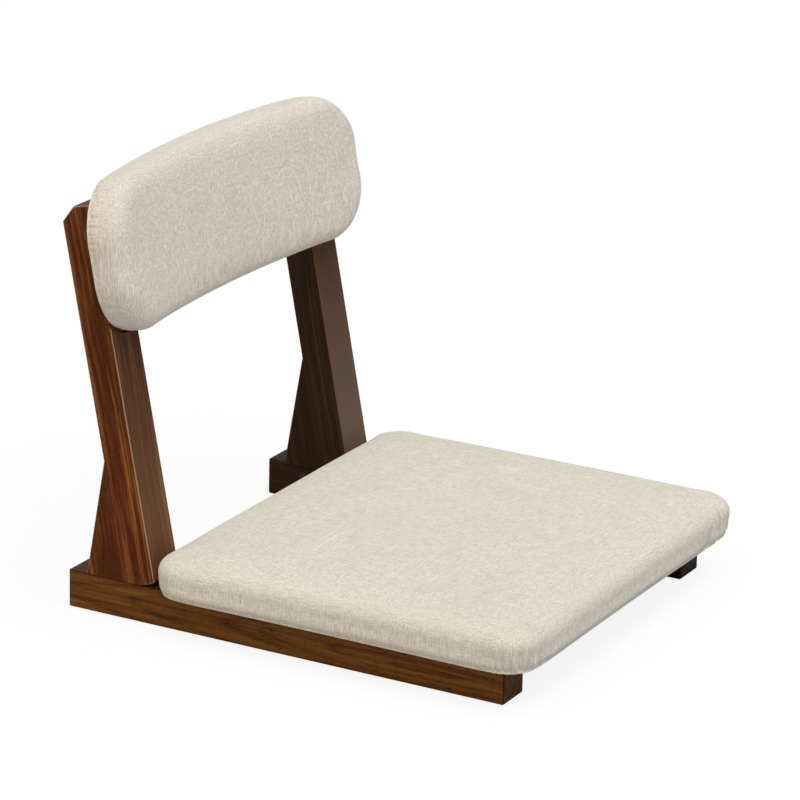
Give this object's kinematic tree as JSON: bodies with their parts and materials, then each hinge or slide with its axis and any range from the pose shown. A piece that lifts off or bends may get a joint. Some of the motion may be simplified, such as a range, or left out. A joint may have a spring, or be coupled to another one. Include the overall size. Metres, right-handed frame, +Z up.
{
  "type": "folding floor chair",
  "caption": "Legless folding floor chair: wooden rails, leaning posts that fold forward over an upholstered seat, curved upholstered back pad.",
  "frame": {"origin": "middle of the chair's footprint on the floor, under the centre of its bounding box", "axes": "+Z up, -Y the way the sitter faces, +X to the sitter's left"},
  "size_m": [0.446, 0.4826, 0.4091],
  "materials": {
    "walnut": "dark walnut stain under satin lacquer",
    "beech": "bare turned beech",
    "plywood": "bare sanded birch plywood",
    "linen": "heathered plain-weave linen look cloth with slubs",
    "foam": "open-cell polyurethane foam",
    "dust_cloth": "thin black non-woven cloth",
    "felt": "pressed wool felt",
    "black_steel": "dark brown-black powder coat",
    "zinc_steel": "bright zinc plate",
    "nylon": "natural moulded nylon"
  },
  "bodies": {
    "base": {"right_rail": "walnut", "left_rail": "walnut", "front_stretcher": "walnut", "rear_stretcher": "walnut", "stretcher_dowels": "beech", "floor_pads": "felt", "right_fold_plate": "black_steel", "left_fold_plate": "black_steel", "plate_screws": "black_steel", "pivot_bushes": "nylon", "seat_board": "plywood", "seat_foam": "foam", "seat_cover": "linen", "seat_dust_sheet": "dust_cloth", "seat_staples": "zinc_steel", "seat_bolts": "zinc_steel", "seat_washers": "zinc_steel", "seat_tee_nuts": "zinc_steel"},
    "backrest": {"right_post": "walnut", "left_post": "walnut", "pivot_pins": "zinc_steel", "pivot_plugs": "walnut", "pivot_washers": "nylon", "back_board": "plywood", "back_foam": "foam", "back_cover": "linen", "back_panel": "dust_cloth", "back_staples": "zinc_steel", "back_bolts": "zinc_steel", "back_washers": "zinc_steel", "back_tee_nuts": "zinc_steel"}
  },
  "joints": [
    {"name": "back_fold", "type": "hinge", "parent": "base", "child": "backrest", "pos_m": [0, 0.1646, 0.0835], "axis": [1, 0, 0], "range_deg": [0, 90]}
  ]
}
